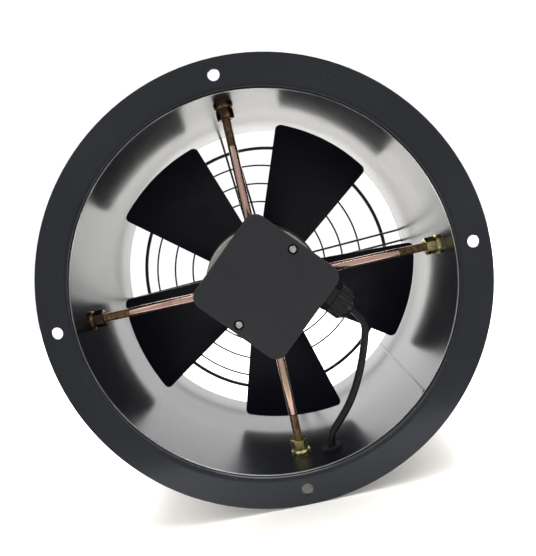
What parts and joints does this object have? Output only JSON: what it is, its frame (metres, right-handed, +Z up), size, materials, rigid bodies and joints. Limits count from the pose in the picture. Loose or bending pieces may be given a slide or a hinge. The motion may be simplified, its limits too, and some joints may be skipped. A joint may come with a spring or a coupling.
{
  "type": "inline duct fan",
  "caption": "Inline axial duct fan: flanged round steel casing, external-rotor motor on radial rods, sheet blades, junction box, cable and wire guard.",
  "frame": {"origin": "centre of the front flange's outer face, on the duct's axis", "axes": "+Y along the duct's axis from the junction-box side towards the guard, +Z up through the top rod, +X through the right rod"},
  "size_m": [0.3659, 0.1894, 0.366],
  "materials": {
    "casing": "gloss black enamel",
    "passivated_rod": "iridescent zinc passivate",
    "yellow_zinc": "yellow zinc chromate",
    "guard_wire": "satin black",
    "cast_aluminium": "machined and cast",
    "machined_steel": "turned",
    "lamination": "stacked sheet",
    "copper_winding": "varnished copper",
    "lead_sleeve": "glass-fibre sleeve",
    "rotor_paint": "satin black",
    "bearing_steel": "ground",
    "blade_paint": "satin blue-black",
    "box_plastic": "fine texture",
    "black_rubber": "matt",
    "bright_screw": "bright zinc",
    "terminal_plastic": "natural",
    "capacitor_case": "smooth",
    "gland_plastic": "semi-matt nylon",
    "cable_rubber": "slightly glossy",
    "tie_plastic": "nylon"
  },
  "bodies": {
    "duct": {"bearing_spacer": "machined_steel", "bearing_tube": "machined_steel", "box_mounting_screws": "bright_screw", "cable_gland_body": "gland_plastic", "cable_gland_locknut": "gland_plastic", "cable_gland_nut": "gland_plastic", "cable_gland_seal": "black_rubber", "cable_grommet": "black_rubber", "casing": "casing", "coil_tie": "tie_plastic", "cover_screws": "bright_screw", "front_bearing_outer_ring": "bearing_steel", "guard_bolts": "yellow_zinc", "guard_level_loop": "guard_wire", "guard_nuts": "yellow_zinc", "guard_outer_ring": "guard_wire", "guard_spiral": "guard_wire", "guard_vertical_loop": "guard_wire", "guard_washers": "yellow_zinc", "housing_circlip": "machined_steel", "inner_rod_nuts": "yellow_zinc", "junction_box_base": "box_plastic", "junction_box_cover": "box_plastic", "junction_box_gasket": "black_rubber", "motor_leads": "lead_sleeve", "outer_rod_nuts": "yellow_zinc", "outer_rod_washers": "yellow_zinc", "preload_washer": "machined_steel", "rear_bearing_outer_ring": "bearing_steel", "run_capacitor": "capacitor_case", "stator_flange": "cast_aluminium", "stator_stack": "lamination", "stator_windings": "copper_winding", "supply_cable": "cable_rubber", "supply_cable_coil": "cable_rubber", "supply_cable_cores": "copper_winding", "supply_cable_inner_end": "cable_rubber", "support_rod_bottom": "passivated_rod", "support_rod_left": "passivated_rod", "support_rod_right": "passivated_rod", "support_rod_top": "passivated_rod", "terminal_block": "terminal_plastic"},
    "rotor": {"rotor_can": "rotor_paint", "rotor_core": "lamination", "rotor_cage": "cast_aluminium", "motor_shaft": "machined_steel", "front_bearing_inner_ring": "bearing_steel", "rear_bearing_inner_ring": "bearing_steel", "shaft_circlip": "machined_steel", "fan_blade_1": "blade_paint", "fan_blade_2": "blade_paint", "fan_blade_3": "blade_paint", "fan_blade_4": "blade_paint", "fan_blade_5": "blade_paint"},
    "front_ball_set": {"front_bearing_balls": "bearing_steel"},
    "rear_ball_set": {"rear_bearing_balls": "bearing_steel"}
  },
  "joints": [
    {"name": "rotor_spin", "type": "hinge", "parent": "duct", "child": "rotor", "pos_m": [0, 0.09, 0], "axis": [0, 1, 0], "continuous": true},
    {"name": "front_balls_roll", "type": "hinge", "parent": "duct", "child": "front_ball_set", "pos_m": [0, 0.09, 0], "axis": [0, 1, 0], "continuous": true},
    {"name": "rear_balls_roll", "type": "hinge", "parent": "duct", "child": "rear_ball_set", "pos_m": [0, 0.09, 0], "axis": [0, 1, 0], "continuous": true}
  ],
  "couplings": [
    {"joint": "front_balls_roll", "follows": "rotor_spin", "ratio": 0.38},
    {"joint": "rear_balls_roll", "follows": "rotor_spin", "ratio": 0.38}
  ]
}
